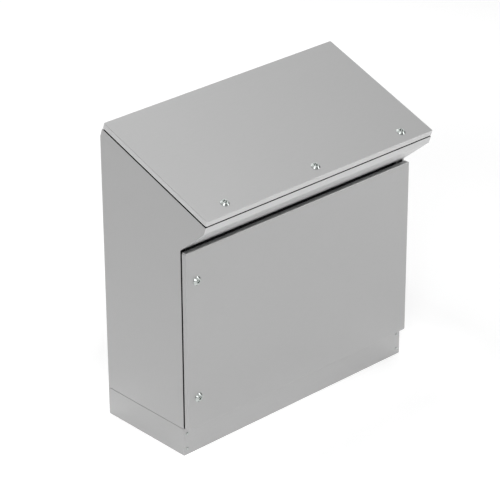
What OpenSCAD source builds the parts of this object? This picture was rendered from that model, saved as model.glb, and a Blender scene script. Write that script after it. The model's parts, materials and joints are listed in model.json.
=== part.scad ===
// Control desk enclosure: a folded sheet body on a bolted plinth, with a lower door and a sloping
// desk lid. Millimetres, +Z up, front towards -Y. The origin is on the floor, under the middle of
// the whole object.

/* [Body] */
// Overall width of body, door and lid
body_w = 1000; // [900:10:1200]
// Depth of the lower body, without its door
body_d = 375; // [360:5:450]
// Height above the floor where the rear panel leaves the vertical
rear_h = 1012; // [990:1:1060]
// Length of the rear panel's short flange, square to the lid
rear_flange = 30; // [20:1:40]
// Height above the floor where the front turns out into the nose
nose_start_z = 745; // [744:1:780]
// Height of the nose's narrow front face, square to the lid
nose_face = 27; // [20:1:40]
// Thickness of the body sheet
body_sheet = 1.5; // [1:0.25:2]

/* [Lid] */
// Slope of the desk lid, in degrees
lid_tilt = 20; // [15:1:25]
// Length of the lid along its slope
lid_l = 515; // [500:5:560]
// Depth of the lid's folded edge
lid_edge = 20; // [20:1:24]
// Open gap between the lid's edge and the body
lid_gap = 6; // [6:1:8]
// Distance between neighbouring lid locks
lid_lock_pitch = 390; // [300:5:400]
// Distance of the lid locks from the lid's front edge
lid_lock_inset = 45; // [43:1:60]
// Distance between neighbouring lid hinges
lid_hinge_pitch = 360; // [300:10:370]
// Length of each lid stay, and distance from the lid hinge to its post
stay_r = 180; // [160:5:190]
// Angle of the stay post below the lid, seen from the lid hinge
stay_angle = 25; // [22:1:30]
// Furthest opening of the lid, in degrees
lid_open = 50; // [30:5:50]

/* [Door] */
// Height of the door's lower edge above the floor
door_z = 103; // [102:1:106]
// Height of the door
door_h = 638; // [600:1:638]
// Depth of the door's folded edge
door_edge = 18; // [18:1:20]
// Open gap between the door's edge and the body
door_gap = 7; // [6:1:8]
// Thickness of the door and lid sheet
pan_sheet = 2; // [1.5:0.25:2]
// Distance of the door locks from the door's free edge
door_lock_inset = 45.5; // [44:0.5:60]
// Distance of the door locks from its upper and lower edges
door_lock_end = 108.5; // [80:0.5:150]
// Distance of the door hinges from its upper and lower edges
door_hinge_end = 110; // [80:5:150]

/* [Plinth] */
// Height of the plinth
plinth_h = 100; // [80:5:100]
// Height of the reveal line between plinth covers and body
plinth_reveal = 1.2; // [0.5:0.1:3]
// Distance between floor bolts across the width
floor_bolt_w = 900; // [890:5:910]
// Distance between floor bolts across the depth
floor_bolt_d = 305; // [295:5:310]

/* [Inside] */
// Width of the mounting plate
plate_w = 900; // [800:10:920]
// Height of the mounting plate
plate_h = 600; // [500:10:620]
// Distance from the rear panel's inner face to the mounting plate
plate_standoff = 30; // [20:1:50]

/* [Hidden] */
$fn = 48;
clear = 0.05;

// Overall shape, seen from the side, with the rear panel's outer face at the rear
lid_above_rear = rear_flange + lid_gap + lid_edge;
overall_d = lid_above_rear * sin(lid_tilt) + lid_l * cos(lid_tilt);
rear_y = overall_d / 2;
front_y = rear_y - body_d;
lid_normal = [-sin(lid_tilt), cos(lid_tilt)];
down_slope = [-cos(lid_tilt), -sin(lid_tilt)];
rear_bend = [rear_y, rear_h];
rim_rear = rear_bend + rear_flange * lid_normal;
rim_front = rim_rear + lid_l * down_slope;
nose_low = rim_front - nose_face * lid_normal;
nose_bend = [front_y, nose_start_z];
lid_rear = rear_bend + lid_above_rear * lid_normal;
inner_x = body_w / 2 - body_sheet;
floor_top = plinth_h + body_sheet;

// Rims of the two openings: an outer land, a gutter and a lip that the gasket rests on
land_w = 8;
gutter_depth = 10;
lip_h = 10;
lip_at = 22;
hinge_lip_at = 40;
lid_rim = lid_edge + lid_gap;
door_rim = door_edge + door_gap;
trim_t = 1;
trim_inset = 0.5;
gasket_w = 10;
gasket_air = 0.3;

// Hinges: the pin runs inside the folded edge of the door or lid
pin_r = 3;
pin_l = 52;
pin_inset = 10;
pin_over_rim = 16;
knuckle_r = 5;
knuckle_l = 24;
knuckle_gap = 0.5;
pin_head = 1;
arm_reach = 21.5;
arm_w = 6;
arm_low = -1.5;
foot_l = 40;
leaf_t = 1.5;
leaf_l = 68;
leaf_x = [-7, 14];
hinge_screw_r = 2.5;
hinge_screw_gap = 28;
hinge_screw_l = 10;
hinge_screw_head_r = 4.5;
hinge_screw_head_h = 3;

// Locks: a housing through the sheet, a turning insert, and a cam behind the rim
lock_r = 11;
head_r = 16;
head_h = 6.5;
head_rim = 1;
head_flat_r = 9;
barrel_l = 18;
insert_r = 8;
insert_face = 5.5;
cup_r = 6.2;
cup_depth = 7;
peg_r = 2.2;
peg_below_face = 1;
wing_w = 2.6;
wing_l = 11;
shaft_w = 7;
nut_af = 27;
nut_h = 5;
cam_top = -39.5;
cam_t = 3;
cam_w = 16;
cam_reach = 28;
tail_h = 2.5;
tail_r = 5.5;

// Stays
stay_x = 444;
stay_t = 3;
stay_w = 16;
stay_post_r = 4;
stay_foot_r = 16;
stay_foot_t = 2;
stay_column_r = 8;
stay_cap_r = 7;
stay_cap_t = 2.5;
stay_play = 0.5;
stay_pin_head_r = 5;
stay_pin_head_t = 2;
track_t = 3;
track_x = 439.5;
track_air = 0.3;
track_foot = 12;
track_short = 2;
track_ends = [12, 20];
slot_spare = 4;
stay_pin_y = -pin_inset - 2 * stay_r * cos(stay_angle);
stay_pin_y_open = -pin_inset - 2 * stay_r * cos(stay_angle + lid_open);
stay_post = [-pin_inset - stay_r * cos(stay_angle), -pin_inset - stay_r * sin(stay_angle)];

// Plinth
cover_t = 2;
cover_flange = 20;
corner_w = 73;
corner_d = 55;
corner_t = 3;
corner_flange_gap = 5;
floor_hole_r = 7;
bolt_hole_r = 5.5;
bolt_r = 5;
bolt_af = 16;
bolt_head_h = 6.4;
bolt_nut_h = 8;
bolt_end = 18;
washer_t = 2;
cover_screw_r = 2.5;
cover_screw_head_r = 4.5;
cover_button_r = 5;
cover_button_flat_r = 2.5;
cover_button_h = 2.8;
cover_screw_inset = 15;
cover_screw_end = 22;
cover_screw_l = 12;
cover_socket_r = 1.6;
cover_socket_depth = 1.5;
floor_bolt_front = 35;

// Inside
plate_t = 2.5;
plate_z = 135;
plate_post_r = 8;
plate_post_inset = 30;
plate_screw_r = 3;
plate_screw_l = 16;
plate_socket_r = 2.3;
blind_end = 2;
earth_stud_r = 4;
earth_stud_l = 20;
earth_stud_at = [35, 70];
earth_nut_z = 8;
earth_nut_af = 13;
earth_nut_h = 6.5;
gland_open_w = 840;
gland_open_d = 100;
gland_edge = 12;
gland_t = 2;
gland_seal = 2;
gland_front = [55, 185];
rail_w = 30;
rail_h = 15;
rail_t = 2;
rail_lip = 7.5;
rail_slot_r = 3;
rail_from_rear = 75;

// ---- Sheet metal ----

// Direction from p to q, and the normal on its left
function heading(p, q) = (q - p) / norm(q - p);
function left_of(d) = [-d.y, d.x];

// Shift of corner i of a path that moves every side of it one unit to the left
function corner_shift(path, i) =
    let (last = len(path) - 1,
         before = i > 0 ? heading(path[i - 1], path[i]) : heading(path[0], path[1]),
         after = i < last ? heading(path[i], path[i + 1]) : before,
         m = left_of(before) + left_of(after))
    2 * m / (m * m);

// Outline of a sheet of thickness t, folded along a path, on the path's left side
function folded(path, t) =
    concat(path, [for (i = [len(path) - 1:-1:0]) path[i] + t * corner_shift(path, i)]);

// Extrudes a (y, z) outline along X, from x0 to x1
module along_x(x0, x1)
    translate([x0, 0, 0]) rotate([90, 0, 90]) linear_extrude(x1 - x0) children();

// Extrudes an (x, z) outline along Y, from y0 to y1
module along_y(y0, y1)
    translate([0, y1, 0]) rotate([90, 0, 0]) linear_extrude(y1 - y0) children();

// Extrudes an (x, y) outline along Z, from z0 to z1
module along_z(z0, z1)
    translate([0, 0, z0]) linear_extrude(z1 - z0) children();

module box(low, high)
    translate(low) cube(high - low);

module mirrored_x() {
    children();
    mirror([1, 0, 0]) children();
}

// Frame of the lid: origin in the middle of its rear edge, +Y up the slope, +Z out of its face
module on_lid()
    translate([0, lid_rear.x, lid_rear.y]) rotate([lid_tilt, 0, 0]) children();

// Frame of the door: origin in the middle of its upper edge, +Y up, +Z out of its face
module on_door()
    translate([0, front_y - door_rim, door_z + door_h]) rotate([90, 0, 0]) children();

// ---- Body shell ----

// Side of the body, seen from the left, in (y, z)
body_outline = [
    [rear_y, plinth_h], rear_bend, rim_rear, rim_front, nose_low, nose_bend, [front_y, plinth_h]
];

module side_panel()
    along_x(inner_x, body_w / 2) polygon(body_outline);

module side_panel_right()
    color("silver") side_panel();

module side_panel_left()
    color("silver") mirror([1, 0, 0]) side_panel();

module rear_panel()
    color("silver") along_x(-inner_x, inner_x)
        polygon(folded([[rear_y, plinth_h], rear_bend, rim_rear], body_sheet));

module nose_panel()
    color("silver") along_x(-inner_x, inner_x)
        polygon(folded([nose_bend, nose_low, rim_front], -body_sheet));

// Places children at each of the four body bolts, in plan
module at_floor_bolts()
    for (x = [-1, 1] * floor_bolt_w / 2, y = [0, floor_bolt_d])
        translate([x, front_y + floor_bolt_front + y, 0]) children();

// One gland opening, widened by an edge, in plan
module gland_area(edge, front)
    translate([-gland_open_w / 2 - edge, front_y + front - edge])
        square([gland_open_w + 2 * edge, gland_open_d + 2 * edge]);

module base_pan()
    color("silver") difference() {
        along_z(plinth_h, floor_top) difference() {
            translate([-inner_x, front_y]) square([2 * inner_x, body_d - body_sheet]);
            for (front = gland_front) gland_area(0, front);
        }
        at_floor_bolts() cylinder(r = bolt_hole_r, h = 3 * plinth_h, center = true);
        at_gland_screws() cylinder(r = gland_screw_r, h = 3 * plinth_h, center = true);
    }

// ---- Rims of the openings ----

// Section of a rim: s runs inwards from the outer edge, z is measured from the closure's face
function rim_section(start, land, lip, rim_z) = folded([
    [start, rim_z], [land, rim_z], [land, rim_z - gutter_depth],
    [lip - body_sheet, rim_z - gutter_depth], [lip - body_sheet, rim_z + lip_h]
], -body_sheet);

// Trims the lips of a rim's children to where they clear the closure's folded edges
module lips_inside(length, right, top, rim_z)
    difference() {
        children();
        along_z(rim_z, 0) difference() {
            square([2 * body_w, 3 * length], center = true);
            translate([-body_w / 2 + lip_at - body_sheet, -length + lip_at - body_sheet])
                square([body_w - lip_at - right + 2 * body_sheet, length - lip_at - top + 2 * body_sheet]);
        }
    }

module side_rim(lip, rim_z)
    translate([-body_w / 2, 0]) polygon(rim_section(body_sheet, land_w, lip, rim_z));

module door_stile(lip)
    along_y(-door_h - door_z + floor_top, nose_start_z - door_z - door_h) side_rim(lip, -door_rim);

module door_stile_left()
    color("silver") on_door() lips_inside(door_h, hinge_lip_at, lip_at, -door_rim) door_stile(lip_at);

module door_stile_right()
    color("silver") difference() {
        on_door() lips_inside(door_h, hinge_lip_at, lip_at, -door_rim)
            mirror([1, 0, 0]) door_stile(hinge_lip_at);
        at_door_hinges() hinge_screw_holes();
    }

// The header has no land of its own: its gutter starts right under the nose
module door_header()
    color("silver") on_door() along_x(-body_w / 2 + lip_at, body_w / 2 - hinge_lip_at)
        mirror([1, 0]) polygon(folded([
            [door_z + door_h - nose_start_z, -door_rim - body_sheet],
            [door_z + door_h - nose_start_z, -door_rim - gutter_depth],
            [lip_at - body_sheet, -door_rim - gutter_depth],
            [lip_at - body_sheet, -door_rim + lip_h]
        ], -body_sheet));

module door_sill()
    color("silver") on_door() along_x(-body_w / 2 + lip_at, body_w / 2 - hinge_lip_at)
        translate([-door_h, 0])
            polygon(rim_section(floor_top - door_z, land_w, lip_at, -door_rim));

module lid_rim_sides()
    color("silver") on_lid() mirrored_x()
        along_y(-lid_l + lip_at, -hinge_lip_at) side_rim(lip_at, -lid_rim);

module lid_rim_front()
    color("silver") on_lid() lips_inside(lid_l, lip_at, hinge_lip_at, -lid_rim)
        along_x(-inner_x, inner_x) translate([-lid_l, 0])
            polygon(rim_section(body_sheet, land_w, lip_at, -lid_rim));

module lid_rim_rear()
    color("silver") difference() {
        on_lid() lips_inside(lid_l, lip_at, hinge_lip_at, -lid_rim)
            along_x(-inner_x, inner_x) mirror([1, 0])
                polygon(rim_section(body_sheet, land_w, hinge_lip_at, -lid_rim));
        at_lid_hinges() hinge_screw_holes();
    }

// Section of the rubber trim that lines a rim's land and gutter
function trim_section(start, rim_z) = folded([
    [start, rim_z], [land_w, rim_z], [land_w, rim_z - gutter_depth],
    [lip_at - body_sheet, rim_z - gutter_depth], [lip_at - body_sheet, rim_z]
], trim_t);

module trim_along_side(y0, y1, rim_z)
    along_y(y0, y1) translate([-body_w / 2, 0]) polygon(trim_section(trim_inset, rim_z));

// Trims of the three free sides of each opening; the hinge sides have none
module opening_trims()
    color("black") {
        on_door() {
            trim_along_side(-door_h - door_z + floor_top, nose_start_z - door_z - door_h, -door_rim);
            along_x(-body_w / 2 + lip_at, body_w / 2 - hinge_lip_at) {
                translate([-door_h, 0]) polygon(trim_section(trim_inset, -door_rim));
                mirror([1, 0]) polygon(folded([
                    [door_z + door_h - nose_start_z, -door_rim - trim_inset],
                    [door_z + door_h - nose_start_z, -door_rim - gutter_depth],
                    [lip_at - body_sheet, -door_rim - gutter_depth],
                    [lip_at - body_sheet, -door_rim]
                ], trim_t));
            }
        }
        on_lid() {
            mirrored_x() trim_along_side(-lid_l + lip_at, -hinge_lip_at, -lid_rim);
            along_x(-inner_x, inner_x) translate([-lid_l, 0])
                polygon(trim_section(trim_inset, -lid_rim));
        }
    }

// ---- Base and inside ----

gland_screw_r = 2.5;
gland_screw_head_r = 4.5;
gland_screw_head_h = 2.5;
gland_screw_xs = [-1, -0.6, -0.2, 0.2, 0.6, 1] * (gland_open_w / 2 - gland_edge);
gland_screw_edge = 6;

// Places children at each gland plate screw, in plan
module at_gland_screws()
    for (front = gland_front, x = gland_screw_xs,
         y = [-gland_screw_edge, gland_open_d + gland_screw_edge])
        translate([x, front_y + front + y, 0]) children();

module gland_plates()
    color("silver") difference() {
        along_z(floor_top + gland_seal, floor_top + gland_seal + gland_t)
            for (front = gland_front) gland_area(gland_edge, front);
        at_gland_screws() cylinder(r = gland_screw_r, h = 3 * plinth_h, center = true);
    }

module gland_gaskets()
    color("black") difference() {
        along_z(floor_top, floor_top + gland_seal) for (front = gland_front) difference() {
            gland_area(gland_edge, front);
            gland_area(0, front);
        }
        at_gland_screws() cylinder(r = gland_screw_r, h = 3 * plinth_h, center = true);
    }

module gland_screws()
    color("gainsboro") at_gland_screws() {
        translate([0, 0, floor_top + gland_seal + gland_t])
            cylinder(r = gland_screw_head_r, h = gland_screw_head_h);
        translate([0, 0, plinth_h - gland_t])
            cylinder(r = gland_screw_r, h = body_sheet + gland_seal + 2 * gland_t);
    }

rail_y = rear_y - rail_from_rear;
rail_slot_pitch = 60;
rail_slot_count = 14;
rail_half_l = 430;

// C-shaped rail across the base that cables are strapped to
module cable_clamp_rail()
    color("gainsboro") difference() {
        along_x(-rail_half_l, rail_half_l) translate([rail_y, floor_top]) polygon(folded([
            [0, rail_h], [0, 0], [rail_w, 0], [rail_w, rail_h], [rail_w - rail_lip, rail_h]
        ], rail_t));
        for (i = [0:rail_slot_count - 1])
            translate([(i - (rail_slot_count - 1) / 2) * rail_slot_pitch, rail_y + rail_w / 2, floor_top])
                cylinder(r = rail_slot_r, h = 4 * rail_t, center = true);
    }

plate_front = rear_y - body_sheet - plate_standoff - plate_t;

// Places children at each mounting plate post, pointing forwards from the rear panel
module at_plate_posts()
    for (x = [-1, 1] * (plate_w / 2 - plate_post_inset), z = [plate_post_inset, plate_h - plate_post_inset])
        translate([x, rear_y - body_sheet, plate_z + z]) rotate([90, 0, 0]) children();

module mounting_plate()
    color("lightsteelblue") difference() {
        box([-plate_w / 2, plate_front, plate_z],
            [plate_w / 2, plate_front + plate_t, plate_z + plate_h]);
        at_plate_posts() plate_screw_shape(clear);
    }

// Countersunk screw whose head ends flush with the plate's face, widened all round by extra
module plate_screw_shape(extra) {
    r = plate_screw_r + extra;
    translate([0, 0, plate_standoff - plate_screw_l]) cylinder(r = r, h = plate_screw_l + plate_t);
    translate([0, 0, plate_standoff]) cylinder(r1 = r, r2 = r + plate_t, h = plate_t);
}

module plate_posts()
    color("gainsboro") at_plate_posts() difference() {
        cylinder(r = plate_post_r, h = plate_standoff);
        translate([0, 0, plate_standoff - plate_screw_l - blind_end])
            cylinder(r = plate_screw_r + clear, h = 2 * plate_screw_l);
    }

module hex_nut(r, af, h)
    difference() {
        cylinder(r = af / 2 / cos(30), h = h, $fn = 6);
        translate([0, 0, -h]) cylinder(r = r, h = 3 * h);
    }

module plate_screws()
    color("gainsboro") at_plate_posts() difference() {
        plate_screw_shape(0);
        translate([0, 0, plate_standoff]) cylinder(r = plate_socket_r, h = 2 * plate_t, $fn = 6);
    }

module earth_stud()
    color("goldenrod")
    translate([body_w / 2 - earth_stud_at.x, front_y + earth_stud_at.y, floor_top]) {
        cylinder(r = earth_stud_r, h = earth_stud_l);
        cylinder(r = 2 * earth_stud_r, h = washer_t);
        translate([0, 0, earth_nut_z]) hex_nut(earth_stud_r, earth_nut_af, earth_nut_h);
    }

// ---- Plinth ----

cover_top = plinth_h - plinth_reveal;
cover_flange_x = body_w / 2 - corner_w - corner_flange_gap;
cover_screw_zs = [cover_screw_end, plinth_h - cover_screw_end];

// Places children at each screw of the front cover, pointing inwards
module at_cover_screws()
    for (x = [-1, 1] * (body_w / 2 - cover_screw_inset), z = cover_screw_zs)
        translate([x, front_y, z]) rotate([-90, 0, 0]) children();

// Turns a front plinth piece into its rear twin
module plinth_to_rear()
    translate([0, 2 * rear_y - body_d, 0]) mirror([0, 1, 0]) children();

// Countersunk screws hold the rear cover, so that the plinth can stand against a wall
module sunk_screw_shape() {
    cylinder(r = cover_screw_r, h = cover_screw_l);
    cylinder(r1 = cover_screw_head_r, r2 = cover_screw_r, h = cover_t);
}

// Button-headed screws hold the front cover
module button_screw_shape() {
    cylinder(r = cover_screw_r, h = cover_screw_l);
    mirror([0, 0, 1]) rotate_extrude() polygon(concat(
        [[0, 0]],
        [for (a = [0:15:90]) [
            cover_button_flat_r + (cover_button_r - cover_button_flat_r) * cos(a),
            cover_button_h * sin(a)
        ]],
        [[0, cover_button_h]]
    ));
}

module plinth_cover()
    difference() {
        union() {
            box([-body_w / 2, front_y, 0], [body_w / 2, front_y + cover_t, cover_top]);
            for (z = [0, cover_top - cover_t])
                box([-cover_flange_x, front_y, z],
                    [cover_flange_x, front_y + cover_flange, z + cover_t]);
        }
        at_cover_screws() children();
    }

module plinth_front_cover()
    color("silver") plinth_cover() cylinder(r = cover_screw_r, h = cover_screw_l, center = true);

module plinth_rear_cover()
    color("silver") plinth_to_rear() plinth_cover() sunk_screw_shape();

module plinth_side_cover_left() {
    flange_y = [front_y + corner_d + corner_flange_gap, rear_y - corner_d - corner_flange_gap];
    color("silver") {
        box([-body_w / 2, front_y + cover_t, 0],
            [-body_w / 2 + cover_t, rear_y - cover_t, cover_top]);
        for (z = [0, cover_top - cover_t])
            box([-body_w / 2, flange_y[0], z],
                [-body_w / 2 + cover_flange, flange_y[1], z + cover_t]);
    }
}

module plinth_side_cover_right()
    color("silver") mirror([1, 0, 0]) plinth_side_cover_left();

// One corner piece: two upright walls between a foot plate and a head plate
module plinth_corner() {
    wall_x = body_w / 2 - cover_t;
    wall_y = front_y + cover_t;
    low = [wall_x - corner_w, wall_y, 0];
    high = [wall_x, wall_y + corner_d, plinth_h];
    difference() {
        union() {
            box(low, [high.x, high.y, corner_t]);
            box([low.x, low.y, plinth_h - corner_t], high);
            box(low, [high.x, low.y + corner_t, plinth_h]);
            box([high.x - corner_t, low.y, 0], high);
        }
        at_floor_bolts() {
            cylinder(r = floor_hole_r, h = plinth_h, center = true);
            cylinder(r = bolt_hole_r, h = 2 * plinth_h);
        }
        at_cover_screws() cylinder(r = cover_screw_r, h = cover_screw_l);
    }
}

module plinth_corners_front()
    color("dimgray") mirrored_x() plinth_corner();

module plinth_corners_rear()
    color("dimgray") plinth_to_rear() mirrored_x() plinth_corner();

// Cuts a hexagon socket into a screw whose head ends at height z
module socketed(z)
    difference() {
        children();
        translate([0, 0, z])
            cylinder(r = cover_socket_r, h = 2 * cover_socket_depth, $fn = 6, center = true);
    }

module plinth_cover_screws()
    color("gainsboro") {
        at_cover_screws() socketed(-cover_button_h) button_screw_shape();
        plinth_to_rear() at_cover_screws() socketed(0) sunk_screw_shape();
    }

module plinth_body_bolts()
    color("gainsboro") at_floor_bolts() {
        translate([0, 0, floor_top]) cylinder(r = 2 * bolt_r, h = washer_t);
        translate([0, 0, floor_top + washer_t])
            cylinder(r = bolt_af / 2 / cos(30), h = bolt_head_h, $fn = 6);
        translate([0, 0, plinth_h - bolt_end]) cylinder(r = bolt_r, h = bolt_end + washer_t);
        translate([0, 0, plinth_h - corner_t - bolt_nut_h]) hex_nut(bolt_r, bolt_af, bolt_nut_h);
    }

// ---- Hinges ----
// Hinge frame: origin on the pin, pin along Y, +X towards the middle of the closure, +Z outwards

module pin_bore(r)
    rotate([90, 0, 0]) cylinder(r = r, h = 2 * leaf_l, center = true);

module knuckle(y0, y1)
    translate([0, y1, 0]) rotate([90, 0, 0]) cylinder(r = knuckle_r, h = y1 - y0);

module at_hinge_screws()
    for (y = [-1, 1] * hinge_screw_gap / 2)
        translate([arm_reach - arm_w / 2, y, -pin_over_rim - gutter_depth]) children();

// Body half: a knuckle on a cranked arm that stands in the gutter
module hinge_bracket()
    difference() {
        union() {
            knuckle(-knuckle_l / 2, knuckle_l / 2);
            box([0, -knuckle_l / 2, arm_low], [arm_reach, knuckle_l / 2, arm_low + arm_w]);
            box([arm_reach - arm_w, -foot_l / 2, -pin_over_rim - gutter_depth],
                [arm_reach, foot_l / 2, arm_low + arm_w]);
        }
        pin_bore(pin_r + clear);
        at_hinge_screws() cylinder(r = hinge_screw_r, h = hinge_screw_l + 2 * body_sheet);
    }

// Closure half: two knuckles on a leaf, welded under a sheet that lies at height top
module hinge_leaf(top)
    difference() {
        union() {
            box([leaf_x[0], -leaf_l / 2, top - leaf_t], [leaf_x[1], leaf_l / 2, top]);
            for (s = [0, 1]) mirror([0, s, 0]) {
                knuckle(knuckle_l / 2 + knuckle_gap, pin_l / 2 - pin_head);
                box([-knuckle_r, knuckle_l / 2 + knuckle_gap, 0], [knuckle_r, pin_l / 2 - pin_head, top]);
            }
        }
        pin_bore(pin_r);
    }

module hinge_pin()
    rotate([90, 0, 0]) cylinder(r = pin_r, h = pin_l, center = true);

module hinge_screw_holes()
    at_hinge_screws() cylinder(r = hinge_screw_r + clear, h = 2 * hinge_screw_l, center = true);

module hinge_screw_pair()
    at_hinge_screws() {
        translate([0, 0, -body_sheet]) cylinder(r = hinge_screw_r, h = body_sheet + hinge_screw_l);
        translate([0, 0, -body_sheet - hinge_screw_head_h])
            cylinder(r = hinge_screw_head_r, h = hinge_screw_head_h);
    }

module at_door_hinges()
    for (y = [-door_hinge_end, -door_h + door_hinge_end])
        on_door() translate([body_w / 2 - pin_inset, y, pin_over_rim - door_rim])
            rotate([0, 0, 180]) children();

module at_lid_hinges()
    for (x = [-1, 0, 1] * lid_hinge_pitch)
        on_lid() translate([x, -pin_inset, pin_over_rim - lid_rim])
            rotate([0, 0, -90]) children();

module door_hinge_brackets()
    color("gainsboro") at_door_hinges() hinge_bracket();

module lid_hinge_brackets()
    color("gainsboro") at_lid_hinges() hinge_bracket();

module hinge_screws()
    color("gainsboro") {
        at_door_hinges() hinge_screw_pair();
        at_lid_hinges() hinge_screw_pair();
    }

module door_hinge_leaves()
    color("gainsboro") at_door_hinges() hinge_leaf(door_rim - pin_over_rim - pan_sheet);

module lid_hinge_leaves()
    color("gainsboro") at_lid_hinges() hinge_leaf(lid_rim - pin_over_rim - pan_sheet);

module door_hinge_pins()
    color("dimgray") at_door_hinges() hinge_pin();

module lid_hinge_pins()
    color("dimgray") at_lid_hinges() hinge_pin();

// ---- Door and lid panels ----

door_lock_x = -body_w / 2 + door_lock_inset;
upper_door_lock = [door_lock_x, -door_lock_end, 0];
lower_door_lock = [door_lock_x, -door_h + door_lock_end, 0];
lid_lock_y = -lid_l + lid_lock_inset;
left_lid_lock = [-lid_lock_pitch, lid_lock_y, 0];
middle_lid_lock = [0, lid_lock_y, 0];
right_lid_lock = [lid_lock_pitch, lid_lock_y, 0];

module at_door_locks()
    for (p = [upper_door_lock, lower_door_lock]) translate(p) children();

module at_lid_locks()
    for (p = [left_lid_lock, middle_lid_lock, right_lid_lock]) translate(p) children();

// Folded pan: its face at z = 0, its edges turned towards the body
module pan(length, edge)
    difference() {
        box([-body_w / 2, -length, -edge], [body_w / 2, 0, 0]);
        box([-body_w / 2 + pan_sheet, -length + pan_sheet, -2 * edge],
            [body_w / 2 - pan_sheet, -pan_sheet, -pan_sheet]);
    }

module lock_hole()
    cylinder(r = lock_r, h = 3 * pan_sheet, center = true);

module door_skin()
    color("silver") on_door() difference() {
        pan(door_h, door_edge);
        at_door_locks() lock_hole();
    }

module lid_skin()
    color("silver") on_lid() difference() {
        pan(lid_l, lid_edge);
        at_lid_locks() lock_hole();
    }

// Foam ring from the sheet to just off the lip; edges in the order left, right, rear or top, front
module gasket(length, left, right, top, bottom, rim_z) {
    half = gasket_w / 2;
    mid = body_sheet / 2;
    x = [-body_w / 2 + left - mid, body_w / 2 - right + mid];
    y = [-length + bottom - mid, -top + mid];
    along_z(rim_z + lip_h + gasket_air, -pan_sheet) difference() {
        translate([x[0] - half, y[0] - half]) square([x[1] - x[0] + gasket_w, y[1] - y[0] + gasket_w]);
        translate([x[0] + half, y[0] + half]) square([x[1] - x[0] - gasket_w, y[1] - y[0] - gasket_w]);
    }
}

module door_gasket()
    color("black") on_door() gasket(door_h, lip_at, hinge_lip_at, lip_at, lip_at, -door_rim);

module lid_gasket()
    color("black") on_lid() gasket(lid_l, lip_at, lip_at, hinge_lip_at, lip_at, -lid_rim);

door_rail_x = 420;
door_rail_w = 22;
door_rail_h = 12;
door_rail_end = 34;
door_rail_pitch = 25;
door_rail_hole_r = 2.5;
door_rail_hole_end = 12;

// Upright rails on the door, with a row of holes for clips and wiring
module door_rails()
    color("silver") on_door() for (x = [-1, 0, 1] * door_rail_x) translate([x, 0, 0]) difference() {
        along_y(-door_h + door_rail_end, -door_rail_end) polygon(folded([
            [-door_rail_w / 2, -pan_sheet], [-door_rail_w / 2, -pan_sheet - door_rail_h],
            [door_rail_w / 2, -pan_sheet - door_rail_h], [door_rail_w / 2, -pan_sheet]
        ], body_sheet));
        for (y = [-door_rail_end - door_rail_pitch : -door_rail_pitch
                  : -door_h + door_rail_end + door_rail_hole_end])
            translate([0, y, -pan_sheet - door_rail_h])
                cylinder(r = door_rail_hole_r, h = 4 * body_sheet, center = true);
    }

stiffener_w = 40;
stiffener_h = 12;
stiffener_foot = 10;
stiffener_half_l = 420;
stiffener_ys = [-160, -350];

// Hat-shaped stiffeners across the underside of the lid
module lid_stiffeners()
    color("silver") on_lid() along_x(-stiffener_half_l, stiffener_half_l)
        for (y = stiffener_ys) translate([y, -pan_sheet]) polygon(folded([
            [-stiffener_w / 2 - stiffener_foot, 0], [-stiffener_w / 2, 0], [-stiffener_w / 2, -stiffener_h],
            [stiffener_w / 2, -stiffener_h], [stiffener_w / 2, 0],
            [stiffener_w / 2 + stiffener_foot, 0]
        ], -body_sheet));

// ---- Locks ----
// Lock frame: origin on the sheet's outer face, +Z outwards

module lock_housing()
    rotate_extrude() polygon(concat(
        [[insert_r + clear, -barrel_l], [lock_r, -barrel_l], [lock_r, 0], [head_r, 0]],
        [for (a = [0:15:90]) [
            head_flat_r + (head_r - head_flat_r) * cos(a),
            head_rim + (head_h - head_rim) * sin(a)
        ]],
        [[insert_r + clear, head_h]]
    ));

module lock_nut()
    translate([0, 0, -pan_sheet - nut_h]) hex_nut(lock_r, nut_af, nut_h);

// Turning insert: a cup with a winged peg outside, a square shaft and a riveted tail inside
module lock_insert(wing_angle) {
    cup_floor = insert_face - cup_depth;
    difference() {
        translate([0, 0, -barrel_l]) cylinder(r = insert_r, h = barrel_l + insert_face);
        translate([0, 0, cup_floor]) cylinder(r = cup_r, h = 2 * cup_depth);
    }
    along_z(cup_floor - clear, insert_face - peg_below_face) {
        circle(r = peg_r);
        rotate(wing_angle) square([wing_l, wing_w], center = true);
    }
    along_z(cam_top - cam_t - tail_h / 2, -barrel_l + 1) square(shaft_w, center = true);
    translate([0, 0, cam_top - cam_t - tail_h]) cylinder(r = tail_r, h = tail_h);
}

module lock_cam(angle)
    rotate([0, 0, angle]) along_z(cam_top - cam_t, cam_top) difference() {
        union() {
            circle(r = cam_w / 2);
            translate([0, -cam_w / 2]) square([cam_reach, cam_w]);
            translate([cam_reach, 0]) circle(r = cam_w / 2);
        }
        square(shaft_w, center = true);
    }

module door_lock_housings()
    color("gainsboro") on_door() at_door_locks() lock_housing();

module door_lock_nuts()
    color("gainsboro") on_door() at_door_locks() lock_nut();

module lid_lock_housings()
    color("gainsboro") on_lid() at_lid_locks() lock_housing();

module lid_lock_nuts()
    color("gainsboro") on_lid() at_lid_locks() lock_nut();

// Unlocked, a door cam hangs down and a lid cam points along the front rim
door_cam_angle = -90;
lid_cam_angle = 0;
wing_angle = 30;

module door_insert(place)
    color("gainsboro") on_door() translate(place) lock_insert(wing_angle);

module door_cam(place)
    color("gray") on_door() translate(place) lock_cam(door_cam_angle);

module lid_insert(place)
    color("gainsboro") on_lid() translate(place) lock_insert(wing_angle);

module lid_cam(place)
    color("gray") on_lid() translate(place) lock_cam(lid_cam_angle);

// ---- Lid stays ----
// Stay frame: the right-hand stay in the lid's frame, pieces stacked along X

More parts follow.
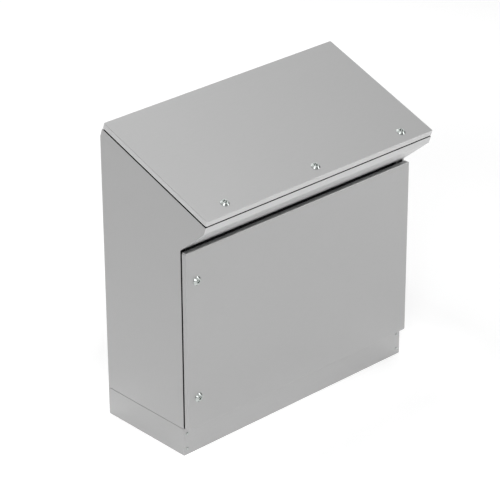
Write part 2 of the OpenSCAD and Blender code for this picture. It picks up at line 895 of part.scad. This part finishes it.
// Fixed post on the side panel, with a spindle for the arm and a retaining head
module stay_post_shape() {
    column_end = stay_x + stay_t / 2 + stay_play;
    cap_end = stay_x - stay_t / 2 - stay_play - stay_cap_t;
    translate([0, stay_post.x, stay_post.y]) rotate([0, 90, 0]) {
        translate([0, 0, inner_x - stay_foot_t]) cylinder(r = stay_foot_r, h = stay_foot_t);
        translate([0, 0, column_end]) cylinder(r = stay_column_r, h = inner_x - column_end);
        translate([0, 0, cap_end]) cylinder(r = stay_post_r, h = column_end - cap_end + clear);
        translate([0, 0, cap_end]) cylinder(r = stay_cap_r, h = stay_cap_t);
    }
}

module stay_posts()
    color("gainsboro") on_lid() mirrored_x() stay_post_shape();

// Arm with its pin at the far end; it turns twice as far as the lid
module stay_arm_shape() {
    pin_end = track_x - track_t / 2 - stay_play - stay_pin_head_t;
    translate([0, stay_post.x, stay_post.y]) rotate([-stay_angle, 0, 0]) {
        along_x(stay_x - stay_t / 2, stay_x + stay_t / 2) difference() {
            union() {
                circle(r = stay_w / 2);
                translate([-stay_r, -stay_w / 2]) square([stay_r, stay_w]);
                translate([-stay_r, 0]) circle(r = stay_w / 2);
            }
            circle(r = stay_post_r + clear);
        }
        translate([pin_end, -stay_r, 0]) rotate([0, 90, 0]) {
            cylinder(r = pin_r, h = stay_x - pin_end);
            cylinder(r = stay_pin_head_r, h = stay_pin_head_t);
        }
    }
}

module stay_arm_right()
    color("gray") on_lid() stay_arm_shape();

module stay_arm_left()
    color("gray") on_lid() mirror([1, 0, 0]) stay_arm_shape();

// Track on the lid: its slot lies on a line through the lid's hinge pins
module stay_track_shape() {
    ends = [stay_pin_y - track_ends[0], stay_pin_y_open + track_ends[1]];
    slot = [stay_pin_y - slot_spare, stay_pin_y_open + slot_spare];
    slot_half = pin_r + track_air;
    difference() {
        along_y(ends[0], ends[1]) translate([track_x, 0]) polygon(folded([
            [track_t / 2, -lid_edge + track_short], [track_t / 2, -pan_sheet],
            [-track_t / 2 - track_foot, -pan_sheet]
        ], track_t));
        box([track_x - track_t, slot[0], -pin_inset - slot_half],
            [track_x + track_t, slot[1], -pin_inset + slot_half]);
        for (y = slot) translate([track_x, y, -pin_inset]) rotate([0, 90, 0])
            cylinder(r = slot_half, h = 2 * track_t, center = true);
    }
}

module stay_tracks()
    color("gainsboro") on_lid() mirrored_x() stay_track_shape();

// ---- All nodes ----

side_panel_left();
side_panel_right();
rear_panel();
nose_panel();
base_pan();
door_stile_left();
door_stile_right();
door_header();
door_sill();
lid_rim_sides();
lid_rim_front();
lid_rim_rear();
opening_trims();
gland_plates();
gland_gaskets();
gland_screws();
cable_clamp_rail();
mounting_plate();
plate_posts();
plate_screws();
earth_stud();
plinth_front_cover();
plinth_rear_cover();
plinth_side_cover_left();
plinth_side_cover_right();
plinth_corners_front();
plinth_corners_rear();
plinth_cover_screws();
plinth_body_bolts();
door_hinge_brackets();
lid_hinge_brackets();
hinge_screws();
stay_posts();
door_skin();
door_rails();
door_gasket();
door_hinge_leaves();
door_hinge_pins();
door_lock_housings();
door_lock_nuts();
lid_skin();
lid_stiffeners();
lid_gasket();
lid_hinge_leaves();
lid_hinge_pins();
lid_lock_housings();
lid_lock_nuts();
stay_tracks();
door_insert(upper_door_lock);  // upper_door_lock_insert
door_cam(upper_door_lock);  // upper_door_lock_cam
door_insert(lower_door_lock);  // lower_door_lock_insert
door_cam(lower_door_lock);  // lower_door_lock_cam
lid_insert(left_lid_lock);  // left_lid_lock_insert
lid_cam(left_lid_lock);  // left_lid_lock_cam
lid_insert(middle_lid_lock);  // middle_lid_lock_insert
lid_cam(middle_lid_lock);  // middle_lid_lock_cam
lid_insert(right_lid_lock);  // right_lid_lock_insert
lid_cam(right_lid_lock);  // right_lid_lock_cam
stay_arm_left();
stay_arm_right();
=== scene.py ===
"""Looks of the control desk enclosure: sheet panels, seals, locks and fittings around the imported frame."""

import json
import math

import bmesh
import bpy
from mathutils import Euler, Matrix, Vector


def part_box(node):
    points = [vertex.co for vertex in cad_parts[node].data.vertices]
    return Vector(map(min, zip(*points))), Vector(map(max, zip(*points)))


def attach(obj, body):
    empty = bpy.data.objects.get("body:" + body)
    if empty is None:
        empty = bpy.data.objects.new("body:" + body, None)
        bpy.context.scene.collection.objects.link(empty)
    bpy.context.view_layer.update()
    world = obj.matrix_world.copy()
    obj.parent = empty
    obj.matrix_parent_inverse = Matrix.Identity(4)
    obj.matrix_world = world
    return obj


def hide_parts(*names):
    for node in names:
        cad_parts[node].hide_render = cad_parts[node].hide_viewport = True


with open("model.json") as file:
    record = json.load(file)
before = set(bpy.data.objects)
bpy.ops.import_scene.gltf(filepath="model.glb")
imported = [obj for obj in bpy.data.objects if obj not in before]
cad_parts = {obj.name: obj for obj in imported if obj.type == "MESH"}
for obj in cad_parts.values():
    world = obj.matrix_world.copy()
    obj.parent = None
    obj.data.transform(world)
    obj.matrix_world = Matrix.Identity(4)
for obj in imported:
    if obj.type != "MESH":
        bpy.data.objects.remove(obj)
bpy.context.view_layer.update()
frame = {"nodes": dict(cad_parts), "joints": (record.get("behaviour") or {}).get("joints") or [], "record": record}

MM = 0.001

# Sheet pans of the door and the lid
PAN_SHEET = 2 * MM
PAN_BEND = 3 * MM
PAN_CORNER = 6 * MM

# Turned lock housings
LOCK_BARREL_R = 11 * MM
LOCK_BARREL_WALL = 2.95 * MM
LOCK_RIM_H = 0.9 * MM
LOCK_EASE = 0.5 * MM
LOCK_CHAMFER_SPARE = 0.4 * MM
LOCK_CORNER = 0.1 * MM
THREAD_START = 2.4 * MM
THREAD_END = 0.8 * MM
THREAD_RELIEF = 0.2 * MM
THREAD_PITCH = 1.5 * MM
THREAD_DEPTH = 0.75 * MM
BARREL_END_CHAMFER = 0.7 * MM

# Foam seals
GASKET_W = 10 * MM
GASKET_CORNER = 14 * MM
GASKET_CROWN = 0.42

# Eased and folded edges of the other CAD nodes
EASED_EDGE = 0.35 * MM
FOLD_R = 2.2 * MM
CUT_EDGE_W = 2.2 * MM
INNER_FOLD = 0.4

BODY_OF = {n: body for body, names in frame["record"]["behaviour"]["bodies"].items() for n in names}
SLOT_OF = {s["node"]: s["material_slot"] for s in frame["record"]["subparts"]}
JOINT = {j["name"]: j for j in frame["joints"]}


# ---- Camera, light and floor ----

def make_camera():
    """A long lens, level with the photograph's three-quarter view from the front left."""
    data = bpy.data.cameras.new("camera")
    data.lens = 175.5
    data.sensor_width = 36.0
    data.clip_end = 60.0
    camera = bpy.data.objects.new("camera", data)
    camera.location = (-4.924, -5.225, 4.1585)
    azimuth, elevation, roll = math.radians(42.768), math.radians(26.82), math.radians(-0.27)
    turn = Euler((math.pi / 2 - elevation, 0.0, -azimuth)).to_matrix()
    camera.matrix_world = Matrix.Translation(camera.location) @ (
        turn @ Matrix.Rotation(roll, 3, "Z")).to_4x4()
    bpy.context.scene.collection.objects.link(camera)
    bpy.context.scene.camera = camera


def area_light(name, place, size, power, target=(0, 0, 0.55)):
    data = bpy.data.lights.new(name, "AREA")
    data.shape = "RECTANGLE"
    data.size, data.size_y = size
    data.energy = power
    light = bpy.data.objects.new(name, data)
    light.location = place
    light.rotation_euler = (Vector(target) - Vector(place)).to_track_quat("-Z", "Y").to_euler()
    light.visible_camera = False
    bpy.context.scene.collection.objects.link(light)


def make_lights():
    """Soft boxes all round; the two upright strips give the bends and locks their highlights."""
    area_light("softbox_above", (0, 0, 3.6), (3, 3), 10)
    area_light("softbox_above_right", (2.0, 0.6, 3.2), (1.6, 1.6), 2.5)
    area_light("softbox_behind", (-0.5, 3.0, 2.6), (5.0, 3.0), 37)
    area_light("softbox_behind_right", (1.6, 2.6, 2.6), (1.6, 1.6), 10)
    area_light("softbox_floor", (-0.6, -0.9, 3.0), (1.0, 1.0), 4.5, target=(-0.6, -0.9, 0))
    area_light("strip_right", (2.4, -2.6, 2.5), (1.2, 3.0), 34)
    area_light("strip_left", (-2.3, -2.5, 2.5), (1.2, 2.8), 32)


def ramp(nodes, links, value, start, end, low, high, easing="LINEAR"):
    node = nodes.new("ShaderNodeMapRange")
    node.interpolation_type = easing
    node.inputs["From Min"].default_value = start
    node.inputs["From Max"].default_value = end
    node.inputs["To Min"].default_value = low
    node.inputs["To Max"].default_value = high
    links.new(value, node.inputs["Value"])
    return node.outputs["Result"]


def make_world():
    """Pale surroundings, brighter overhead than at the horizon."""
    world = bpy.data.worlds.new("studio")
    bpy.context.scene.world = world
    world.use_nodes = True
    nodes, links = world.node_tree.nodes, world.node_tree.links
    split = nodes.new("ShaderNodeSeparateXYZ")
    links.new(nodes.new("ShaderNodeTexCoord").outputs["Generated"], split.inputs[0])
    background = nodes["Background"]
    background.inputs["Color"].default_value = (1, 1, 1, 1)
    links.new(ramp(nodes, links, split.outputs["Z"], 0.3, 1.0, 0.25, 1.1),
              background.inputs["Strength"])
    bpy.context.scene.view_settings.view_transform = "Standard"


def vector_math(nodes, links, operation, a, b):
    node = nodes.new("ShaderNodeVectorMath")
    node.operation = operation
    links.new(a, node.inputs[0])
    node.inputs[1].default_value = b
    return node


def add(nodes, links, a, b):
    node = nodes.new("ShaderNodeMath")
    links.new(a, node.inputs[0])
    links.new(b, node.inputs[1])
    return node.outputs[0]


def make_floor():
    """White floor that glows softly round the object and far away, where it would show grey."""
    mesh = bpy.data.meshes.new("floor")
    half = 14.0
    mesh.from_pydata([(-half, -half, 0), (half, -half, 0), (half, half, 0), (-half, half, 0)],
                     [], [(0, 1, 2, 3)])
    floor = bpy.data.objects.new("floor", mesh)
    bpy.context.scene.collection.objects.link(floor)
    material = bpy.data.materials.new("floor")
    material.use_nodes = True
    nodes, links = material.node_tree.nodes, material.node_tree.links
    shader = nodes["Principled BSDF"]
    shader.inputs["Base Color"].default_value = (0.92, 0.92, 0.92, 1)
    shader.inputs["Roughness"].default_value = 0.9
    shader.inputs["Specular IOR Level"].default_value = 0.1
    shader.inputs["Emission Color"].default_value = (1, 1, 1, 1)
    where = nodes.new("ShaderNodeTexCoord").outputs["Object"]
    low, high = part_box("plinth_front_cover")[0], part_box("plinth_rear_cover")[1]
    middle = (Vector(low) + Vector(high)) / 2
    reach = (Vector(high) - Vector(low)) / 2
    from_middle = vector_math(nodes, links, "SUBTRACT", where, (middle.x, middle.y, 0))
    folded = vector_math(nodes, links, "ABSOLUTE", from_middle.outputs[0], (0, 0, 0))
    outside = vector_math(nodes, links, "SUBTRACT", folded.outputs[0], (reach.x, reach.y, 0))
    clear = vector_math(nodes, links, "MAXIMUM", outside.outputs[0], (0, 0, 0))
    gap = vector_math(nodes, links, "LENGTH", clear.outputs[0], (0, 0, 0)).outputs["Value"]
    in_front = vector_math(nodes, links, "DISTANCE", where, (-0.2, -0.5, 0)).outputs["Value"]
    behind = vector_math(nodes, links, "DISTANCE", where, (-0.3, 0.9, 0)).outputs["Value"]
    # Each glow: the distance that it follows, where it starts and ends, and its strength there
    glows = ((gap, 0.0, 0.35, 0.2, 0.0), (in_front, 0.3, 1.1, 0.15, 0.0),
             (behind, 0.3, 1.4, 0.13, 0.0), (gap, 1.3, 2.8, 0.0, 0.15))
    glow = ramp(nodes, links, *glows[0], "SMOOTHSTEP")
    for distance, start, end, low_glow, high_glow in glows[1:]:
        part = ramp(nodes, links, distance, start, end, low_glow, high_glow, "SMOOTHSTEP")
        glow = add(nodes, links, glow, part)
    links.new(glow, shader.inputs["Emission Strength"])
    mesh.materials.append(material)


# ---- Materials ----

class Paintbox:
    """Short-hand for building one Principled material from procedural textures."""

    def __init__(self, name, color, roughness, metallic):
        self.material = bpy.data.materials.new(name)
        self.material.use_nodes = True
        self.nodes = self.material.node_tree.nodes
        self.links = self.material.node_tree.links
        self.shader = self.nodes["Principled BSDF"]
        self.shader.inputs["Metallic"].default_value = metallic
        self.shader.inputs["Roughness"].default_value = roughness
        self.shader.inputs["Base Color"].default_value = (*color, 1)
        self.color = color
        self.place = self.nodes.new("ShaderNodeTexCoord").outputs["Object"]

    def mapped(self, scale):
        node = self.nodes.new("ShaderNodeMapping")
        node.inputs["Scale"].default_value = scale
        self.links.new(self.place, node.inputs["Vector"])
        return node.outputs["Vector"]

    def noise(self, scale, detail=3.0, roughness=0.55):
        """Noise whose grain is 1/scale metres along each axis; scale is one number or three."""
        node = self.nodes.new("ShaderNodeTexNoise")
        node.inputs["Detail"].default_value = detail
        node.inputs["Roughness"].default_value = roughness
        node.inputs["Scale"].default_value = 1.0
        vector = (scale,) * 3 if isinstance(scale, (int, float)) else scale
        self.links.new(self.mapped(vector), node.inputs["Vector"])
        return node.outputs["Fac"]

    def cells(self, scale):
        node = self.nodes.new("ShaderNodeTexVoronoi")
        node.inputs["Scale"].default_value = scale
        self.links.new(self.place, node.inputs["Vector"])
        return node.outputs["Color"]

    def span(self, value, low, high, start=0.3, end=0.7):
        """Maps a texture's start..end to low..high."""
        node = self.nodes.new("ShaderNodeMapRange")
        node.inputs["From Min"].default_value = start
        node.inputs["From Max"].default_value = end
        node.inputs["To Min"].default_value = low
        node.inputs["To Max"].default_value = high
        self.links.new(value, node.inputs["Value"])
        return node.outputs["Result"]

    def times(self, a, b):
        node = self.nodes.new("ShaderNodeMath")
        node.operation = "MULTIPLY"
        self.links.new(a, node.inputs[0])
        self.links.new(b, node.inputs[1])
        return node.outputs[0]

    def shade(self, factor):
        """Base colour times a factor that varies over the surface."""
        node = self.nodes.new("ShaderNodeVectorMath")
        node.operation = "SCALE"
        node.inputs[0].default_value = self.color
        self.links.new(factor, node.inputs["Scale"])
        self.links.new(node.outputs[0], self.shader.inputs["Base Color"])

    def rough(self, value):
        self.links.new(value, self.shader.inputs["Roughness"])

    def bump(self, height, depth):
        """Surface relief, depth metres deep."""
        node = self.nodes.new("ShaderNodeBump")
        node.inputs["Strength"].default_value = 1.0
        node.inputs["Distance"].default_value = depth
        self.links.new(height, node.inputs["Height"])
        self.links.new(node.outputs["Normal"], self.shader.inputs["Normal"])


def brushed_steel(name, grain, tone=0.44, roughness=0.42):
    """Fine-ground stainless sheet. grain names the axis along which it was ground."""
    box = Paintbox(name, (tone, tone, tone), roughness, 1.0)
    fine, long_ = 1900.0, 30.0
    scale = tuple(long_ if axis == grain else fine for axis in "XYZ")
    streaks = box.noise(scale, 3.0, 0.6)
    clouds = box.noise(3.0, 3.0)
    box.shade(box.times(box.span(streaks, 0.965, 1.035), box.span(clouds, 0.992, 1.008)))
    box.rough(box.times(box.span(streaks, 0.96 * roughness, 1.06 * roughness),
                        box.span(clouds, 0.98, 1.02)))
    box.bump(streaks, 0.000008)
    return box.material


def zinc_plate(name):
    box = Paintbox(name, (0.56, 0.57, 0.59), 0.3, 1.0)
    mottle = box.noise(90.0, 5.0)
    box.shade(box.span(mottle, 0.9, 1.08))
    box.rough(box.span(mottle, 0.26, 0.38))
    box.bump(box.noise(2200.0, 2.0), 0.000012)
    return box.material


def galvanised(name):
    """Hot-dip galvanised plate with its spangle."""
    box = Paintbox(name, (0.52, 0.54, 0.56), 0.4, 1.0)
    spangle = box.cells(70.0)
    fine = box.noise(300.0, 4.0)
    box.shade(box.times(box.span(spangle, 0.82, 1.1, 0.0, 1.0), box.span(fine, 0.96, 1.04)))
    box.rough(box.span(spangle, 0.3, 0.5, 0.0, 1.0))
    box.bump(fine, 0.00001)
    return box.material


def powder_coat(name):
    box = Paintbox(name, (0.045, 0.046, 0.05), 0.5, 0.0)
    peel = box.noise(700.0, 3.0)
    box.shade(box.span(box.noise(12.0), 0.9, 1.1))
    box.rough(box.span(peel, 0.42, 0.58))
    box.bump(peel, 0.00005)
    return box.material


def nickel_plate(name):
    """Bright plated zinc casting of the locks, faintly green-grey."""
    box = Paintbox(name, (0.50, 0.53, 0.515), 0.14, 1.0)
    swirl = box.noise(160.0, 4.0)
    box.shade(box.span(swirl, 0.95, 1.04))
    box.rough(box.span(swirl, 0.12, 0.22))
    box.bump(box.noise(900.0, 2.0), 0.00001)
    return box.material


def brass(name):
    box = Paintbox(name, (0.72, 0.52, 0.24), 0.28, 1.0)
    tarnish = box.noise(120.0, 4.0)
    box.shade(box.span(tarnish, 0.8, 1.08))
    box.rough(box.span(tarnish, 0.22, 0.42))
    return box.material


def foam_rubber(name):
    """Black foamed seal with its pores."""
    box = Paintbox(name, (0.009, 0.009, 0.0095), 0.85, 0.0)
    box.shader.inputs["Specular IOR Level"].default_value = 0.2
    pores = box.noise(900.0, 3.0)
    box.shade(box.span(pores, 0.6, 1.35))
    box.rough(box.span(pores, 0.72, 0.9))
    box.bump(pores, 0.0002)
    return box.material


MATERIAL = {
    "stainless": brushed_steel("stainless_ground_across", "X"),
    "zinc": zinc_plate("zinc_plate"),
    "galvanised": galvanised("galvanised_spangle"),
    "dark_steel": powder_coat("powder_coat_black"),
    "lock_metal": nickel_plate("nickel_plate"),
    "brass": brass("brass"),
    "rubber": foam_rubber("foam_rubber"),
}
GROUND_UPRIGHT = brushed_steel("stainless_ground_upright", "Z")
GROUND_ALONG_SIDE = brushed_steel("stainless_ground_along_side", "Y")
# Nose panel and the lid's folded edges: a paler copy of the same stainless, painted sheen for the extra light
# these faces catch, set to match their tone in the photograph under this light. It is a fitted value, not a known
# finish.
PAINTED_SHEEN_STEEL = brushed_steel("stainless_painted_sheen", "X", 0.61, 0.5)


# ---- Mesh helpers ----

def local_axes(outward):
    """Axes of a closure: x across, y up its face, z along its outward normal."""
    z = Vector(outward).normalized()
    x = Vector((1, 0, 0))
    return Matrix((x, z.cross(x), z)).transposed()


def local_box(node, axes):
    """Lowest and highest corner of a CAD node, measured along a closure's own axes."""
    points = [axes.transposed() @ v.co for v in frame["nodes"][node].data.vertices]
    return (Vector(min(p[i] for p in points) for i in range(3)),
            Vector(max(p[i] for p in points) for i in range(3)))


def lock_places(axes, locks):
    """Where the named lock joints lie, in a closure's own axes."""
    return [axes.transposed() @ Vector(JOINT[name]["pos_m"]) for name in locks]


def smooth(mesh, sharp_angle=32.0):
    for polygon in mesh.polygons:
        polygon.use_smooth = True
    mesh.set_sharp_from_angle(angle=math.radians(sharp_angle))


def settled(obj):
    """Applies every modifier of obj to its mesh."""
    bpy.context.view_layer.update()
    mesh = bpy.data.meshes.new_from_object(obj.evaluated_get(bpy.context.evaluated_depsgraph_get()))
    obj.modifiers.clear()
    old, obj.data = obj.data, mesh
    bpy.data.meshes.remove(old)
    return obj


def even_normals(obj):
    modifier = obj.modifiers.new("even_normals", "WEIGHTED_NORMAL")
    modifier.keep_sharp = True
    return settled(obj)


def add_object(name, bm):
    bmesh.ops.recalc_face_normals(bm, faces=bm.faces)
    mesh = bpy.data.meshes.new(name)
    bm.to_mesh(mesh)
    bm.free()
    obj = bpy.data.objects.new(name, mesh)
    bpy.context.scene.collection.objects.link(obj)
    return obj


def place(obj, node, material=None):
    """Gives a finished piece its material and its body, and hides the CAD node that it stands for."""
    obj.data.materials.clear()
    obj.data.materials.append(material or MATERIAL[SLOT_OF[node]])
    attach(obj, BODY_OF[node])
    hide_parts(node)
    return obj


def clean_copy(node):
    """The CAD node's shape with its flat faces whole again, ready for bevels."""
    bm = bmesh.new()
    bm.from_mesh(frame["nodes"][node].data)
    bmesh.ops.remove_doubles(bm, verts=bm.verts, dist=2e-6)
    bmesh.ops.dissolve_limit(bm, angle_limit=math.radians(0.6), verts=bm.verts, edges=bm.edges,
                             use_dissolve_boundaries=False, delimit=set())
    return bm


def is_sharp(edge, angle=math.radians(28)):
    return len(edge.link_faces) == 2 and edge.calc_face_angle(0.0) > angle


def face_width(face):
    return face.calc_area() / max(e.calc_length() for e in face.edges)


def refined(node, edge, fold=0.0, material=None):
    """Copy of a CAD node with eased edges; fold is the outer radius where the sheet is bent."""
    bm = clean_copy(node)
    weight = bm.edges.layers.float.new("bevel_weight_edge")
    widest = max(edge, fold)
    for e in bm.edges:
        if not is_sharp(e):
            continue
        cut_edge = min(face_width(f) for f in e.link_faces) < CUT_EDGE_W
        if cut_edge or not fold:
            radius = edge
        else:
            radius = fold if e.is_convex else fold * INNER_FOLD
        e[weight] = radius / widest
    obj = add_object(node + "_piece", bm)
    bevel = obj.modifiers.new("eased_edges", "BEVEL")
    bevel.limit_method = "WEIGHT"
    bevel.width = widest
    bevel.segments = 3
    bevel.use_clamp_overlap = True
    settled(obj)
    smooth(obj.data)
    even_normals(obj)
    return place(obj, node, material)


# ---- Door and lid pans ----

def rounded_ring(low, high, inset, z, corner, steps=6):
    """Points round a rectangle, moved in by inset, with round corners."""
    r = max(corner - inset, 0.0002)
    ring = []
    for quarter, (sx, sy) in enumerate(((1, 1), (-1, 1), (-1, -1), (1, -1))):
        cx = (high.x - inset - r) if sx > 0 else (low.x + inset + r)
        cy = (high.y - inset - r) if sy > 0 else (low.y + inset + r)
        for i in range(steps + 1):
            a = math.radians(90 * (quarter + i / steps))
            ring.append(Vector((cx + r * math.cos(a), cy + r * math.sin(a), z)))
    return ring


def pan_profile(top, bottom, sheet, bend, steps=5):
    """(inset, z) steps from the face's rim, round the bend, down the edge and back up inside."""
    quarter = [math.radians(90 * i / steps) for i in range(steps + 1)]
    ease = 0.4 * MM
    inner = bend - sheet
    outside = [(bend * (1 - math.sin(a)), top - bend * (1 - math.cos(a))) for a in quarter]
    lip = [(0.0, bottom + ease), (ease * 0.3, bottom + ease * 0.3), (ease, bottom),
           (sheet - ease, bottom), (sheet - ease * 0.3, bottom + ease * 0.3), (sheet, bottom + ease)]
    inside = [(sheet + inner * (1 - math.sin(a)), top - sheet - inner * (1 - math.cos(a)))
              for a in reversed(quarter)]
    return outside + lip + inside


def make_pan(node, axes, locks, sheen_edge_material=None):
    """A folded sheet pan with bent edges, round corners and a round hole for each lock.

    The edge material, where given, goes on its folded edges; the one used here is a paler copy of the stainless,
    painted sheen for the extra light the edges catch.
    """
    low, high = local_box(node, axes)
    bm = bmesh.new()
    rings = [[bm.verts.new(p) for p in rounded_ring(low, high, inset, z, PAN_CORNER)]
             for inset, z in pan_profile(high.z, low.z, PAN_SHEET, PAN_BEND)]
    for a, b in zip(rings, rings[1:]):
        for i in range(len(a)):
            j = (i + 1) % len(a)
            bm.faces.new((a[i], a[j], b[j], b[i]))
    bm.faces.new(rings[0])
    bm.faces.new(rings[-1])
    obj = add_object(node + "_piece", bm)
    for p in lock_places(axes, locks):
        drill = bmesh.new()
        bmesh.ops.create_cone(drill, cap_ends=True, segments=48,
                              radius1=LOCK_BARREL_R, radius2=LOCK_BARREL_R,
                              depth=4 * PAN_SHEET, matrix=Matrix.Translation((p.x, p.y, high.z)))
        tool = add_object("drill", drill)
        cut = obj.modifiers.new("hole", "BOOLEAN")
        cut.operation, cut.solver, cut.object = "DIFFERENCE", "EXACT", tool
        settled(obj)
        bpy.data.objects.remove(tool)
    upright = [p.index for p in obj.data.polygons if abs(p.normal.z) < 0.5]
    obj.data.transform(axes.to_4x4())
    smooth(obj.data, 25.0)
    even_normals(obj)
    place(obj, node)
    if sheen_edge_material:
        obj.data.materials.append(sheen_edge_material)
        for index in upright:
            obj.data.polygons[index].material_index = 1
    return obj


def threads(radius, start, end, pitch, depth):
    """(r, z) steps of the rings that stand for a thread, from start down to end."""
    count = int((start - end) / pitch)
    steps = []
    for i in range(count):
        z = start - i * pitch
        steps += [(radius, z), (radius, z - 0.3 * pitch), (radius - depth, z - 0.5 * pitch),
                  (radius, z - 0.9 * pitch)]
    return steps


def arc(centre, radius, start, end, steps=5):
    """(r, z) steps along part of a circle, angles in degrees."""
    angles = [math.radians(start + (end - start) * i / steps) for i in range(steps + 1)]
    return [(centre[0] + radius * math.cos(a), centre[1] + radius * math.sin(a)) for a in angles]


def lathe(bm, outline, to_world, segments=72):
    """Turns a closed (r, z) outline about Z into bm."""
    rings = []
    for r, z in outline:
        rings.append([bm.verts.new(to_world @ Vector((r * math.cos(a), r * math.sin(a), z)))
                      for a in (2 * math.pi * k / segments for k in range(segments))])
    for a, b in zip(rings, rings[1:] + rings[:1]):
        for i in range(segments):
            j = (i + 1) % segments
            bm.faces.new((a[i], a[j], b[j], b[i]))


def make_lock_housings(node, axes, locks):
    """Turned housings: a conical head with eased rims, and a ringed barrel for the nut."""
    low, high = local_box(node, axes)
    faces = lock_places(axes, locks)
    sheet = local_box(node.replace("lock_housings", "skin"), axes)[1].z
    head = high.z - sheet
    barrel = low.z - sheet
    head_r = high.x - max(p.x for p in faces)
    bore = LOCK_BARREL_R - LOCK_BARREL_WALL
    ease = LOCK_EASE
    flat_r = head_r - head + LOCK_RIM_H + LOCK_CHAMFER_SPARE
    outline = [(bore, head - ease)] + arc((bore + ease, head - ease), ease, 180, 90)
    outline += arc((flat_r - ease, head - 1.2 * ease), 1.2 * ease, 90, 45)
    outline += arc((head_r - ease, LOCK_RIM_H), ease, 45, 0)
    outline += [(head_r, LOCK_CORNER), (head_r - LOCK_CORNER, 0.0)]
    outline += [(LOCK_BARREL_R, 0.0), (LOCK_BARREL_R, THREAD_RELIEF - THREAD_START)]
    outline += threads(LOCK_BARREL_R, -THREAD_START, barrel + THREAD_END, THREAD_PITCH, THREAD_DEPTH)
    outline += [(LOCK_BARREL_R - BARREL_END_CHAMFER, barrel), (bore, barrel)]
    bm = bmesh.new()
    for p in faces:
        lathe(bm, outline, axes.to_4x4() @ Matrix.Translation((p.x, p.y, sheet)))
    obj = add_object(node + "_turned", bm)
    smooth(obj.data, 40.0)
    even_normals(obj)
    return place(obj, node)


def make_gasket(node, axes, steps=10):
    """Foam bead round a closure: flat where it is glued to the sheet, round where it meets the lip."""
    low, high = local_box(node, axes)
    width = GASKET_W
    crown = width * GASKET_CROWN
    bead = [(0.0, high.z), (0.0, low.z + crown)]
    for i in range(1, steps):
        a = math.pi * i / steps
        bead.append((width / 2 * (1 - math.cos(a)), low.z + crown * (1 - math.sin(a))))
    bead += [(width, low.z + crown), (width, high.z)]
    bm = bmesh.new()
    rings = [[bm.verts.new(p) for p in rounded_ring(low, high, inset, z, GASKET_CORNER)]
             for inset, z in bead]
    for a, b in zip(rings, rings[1:] + rings[:1]):
        for i in range(len(a)):
            j = (i + 1) % len(a)
            bm.faces.new((a[i], a[j], b[j], b[i]))
    obj = add_object(node + "_bead", bm)
    obj.data.transform(axes.to_4x4())
    smooth(obj.data, 50.0)
    even_normals(obj)
    return place(obj, node)


DOOR_AXES = local_axes((0, -1, 0))
LID_AXES = local_axes(-Vector(JOINT["middle_lid_lock_turn"]["axis"]))
DOOR_LOCKS = ("upper_door_lock_turn", "lower_door_lock_turn")
LID_LOCKS = ("left_lid_lock_turn", "middle_lid_lock_turn", "right_lid_lock_turn")


make_camera()
make_world()
make_floor()
make_lights()

make_pan("door_skin", DOOR_AXES, DOOR_LOCKS)
# The lid's folded edges take the paler stainless copy: painted sheen for the light they catch.
make_pan("lid_skin", LID_AXES, LID_LOCKS, PAINTED_SHEEN_STEEL)
make_lock_housings("door_lock_housings", DOOR_AXES, DOOR_LOCKS)
make_lock_housings("lid_lock_housings", LID_AXES, LID_LOCKS)
make_gasket("door_gasket", DOOR_AXES)
make_gasket("lid_gasket", LID_AXES)

FOLDED = {"rear_panel", "nose_panel", "door_header", "door_sill", "door_stile_left",
          "door_stile_right", "lid_rim_sides", "lid_rim_front", "lid_rim_rear"}
# Finishes that differ from the material slot's own, and the nose panel's paler copy of the stainless, which is
# painted sheen
FINISH_AND_PAINTED_SHEEN = {name: GROUND_UPRIGHT for name in ("side_panel_left", "side_panel_right", "door_stile_left",
                                            "door_stile_right", "door_rails")}
FINISH_AND_PAINTED_SHEEN.update({name: GROUND_ALONG_SIDE for name in ("plinth_side_cover_left", "plinth_side_cover_right",
                                                    "lid_rim_sides", "base_pan")})
# Nose panel: the paler stainless copy, painted sheen for the light it catches.
FINISH_AND_PAINTED_SHEEN["nose_panel"] = PAINTED_SHEEN_STEEL
FINISH_AND_PAINTED_SHEEN["plinth_cover_screws"] = MATERIAL["lock_metal"]
MADE_ABOVE = {"door_skin", "lid_skin", "door_gasket", "lid_gasket",
              "door_lock_housings", "lid_lock_housings"}
for name in frame["nodes"]:
    if name not in MADE_ABOVE:
        refined(name, EASED_EDGE, FOLD_R if name in FOLDED else 0.0, FINISH_AND_PAINTED_SHEEN.get(name))
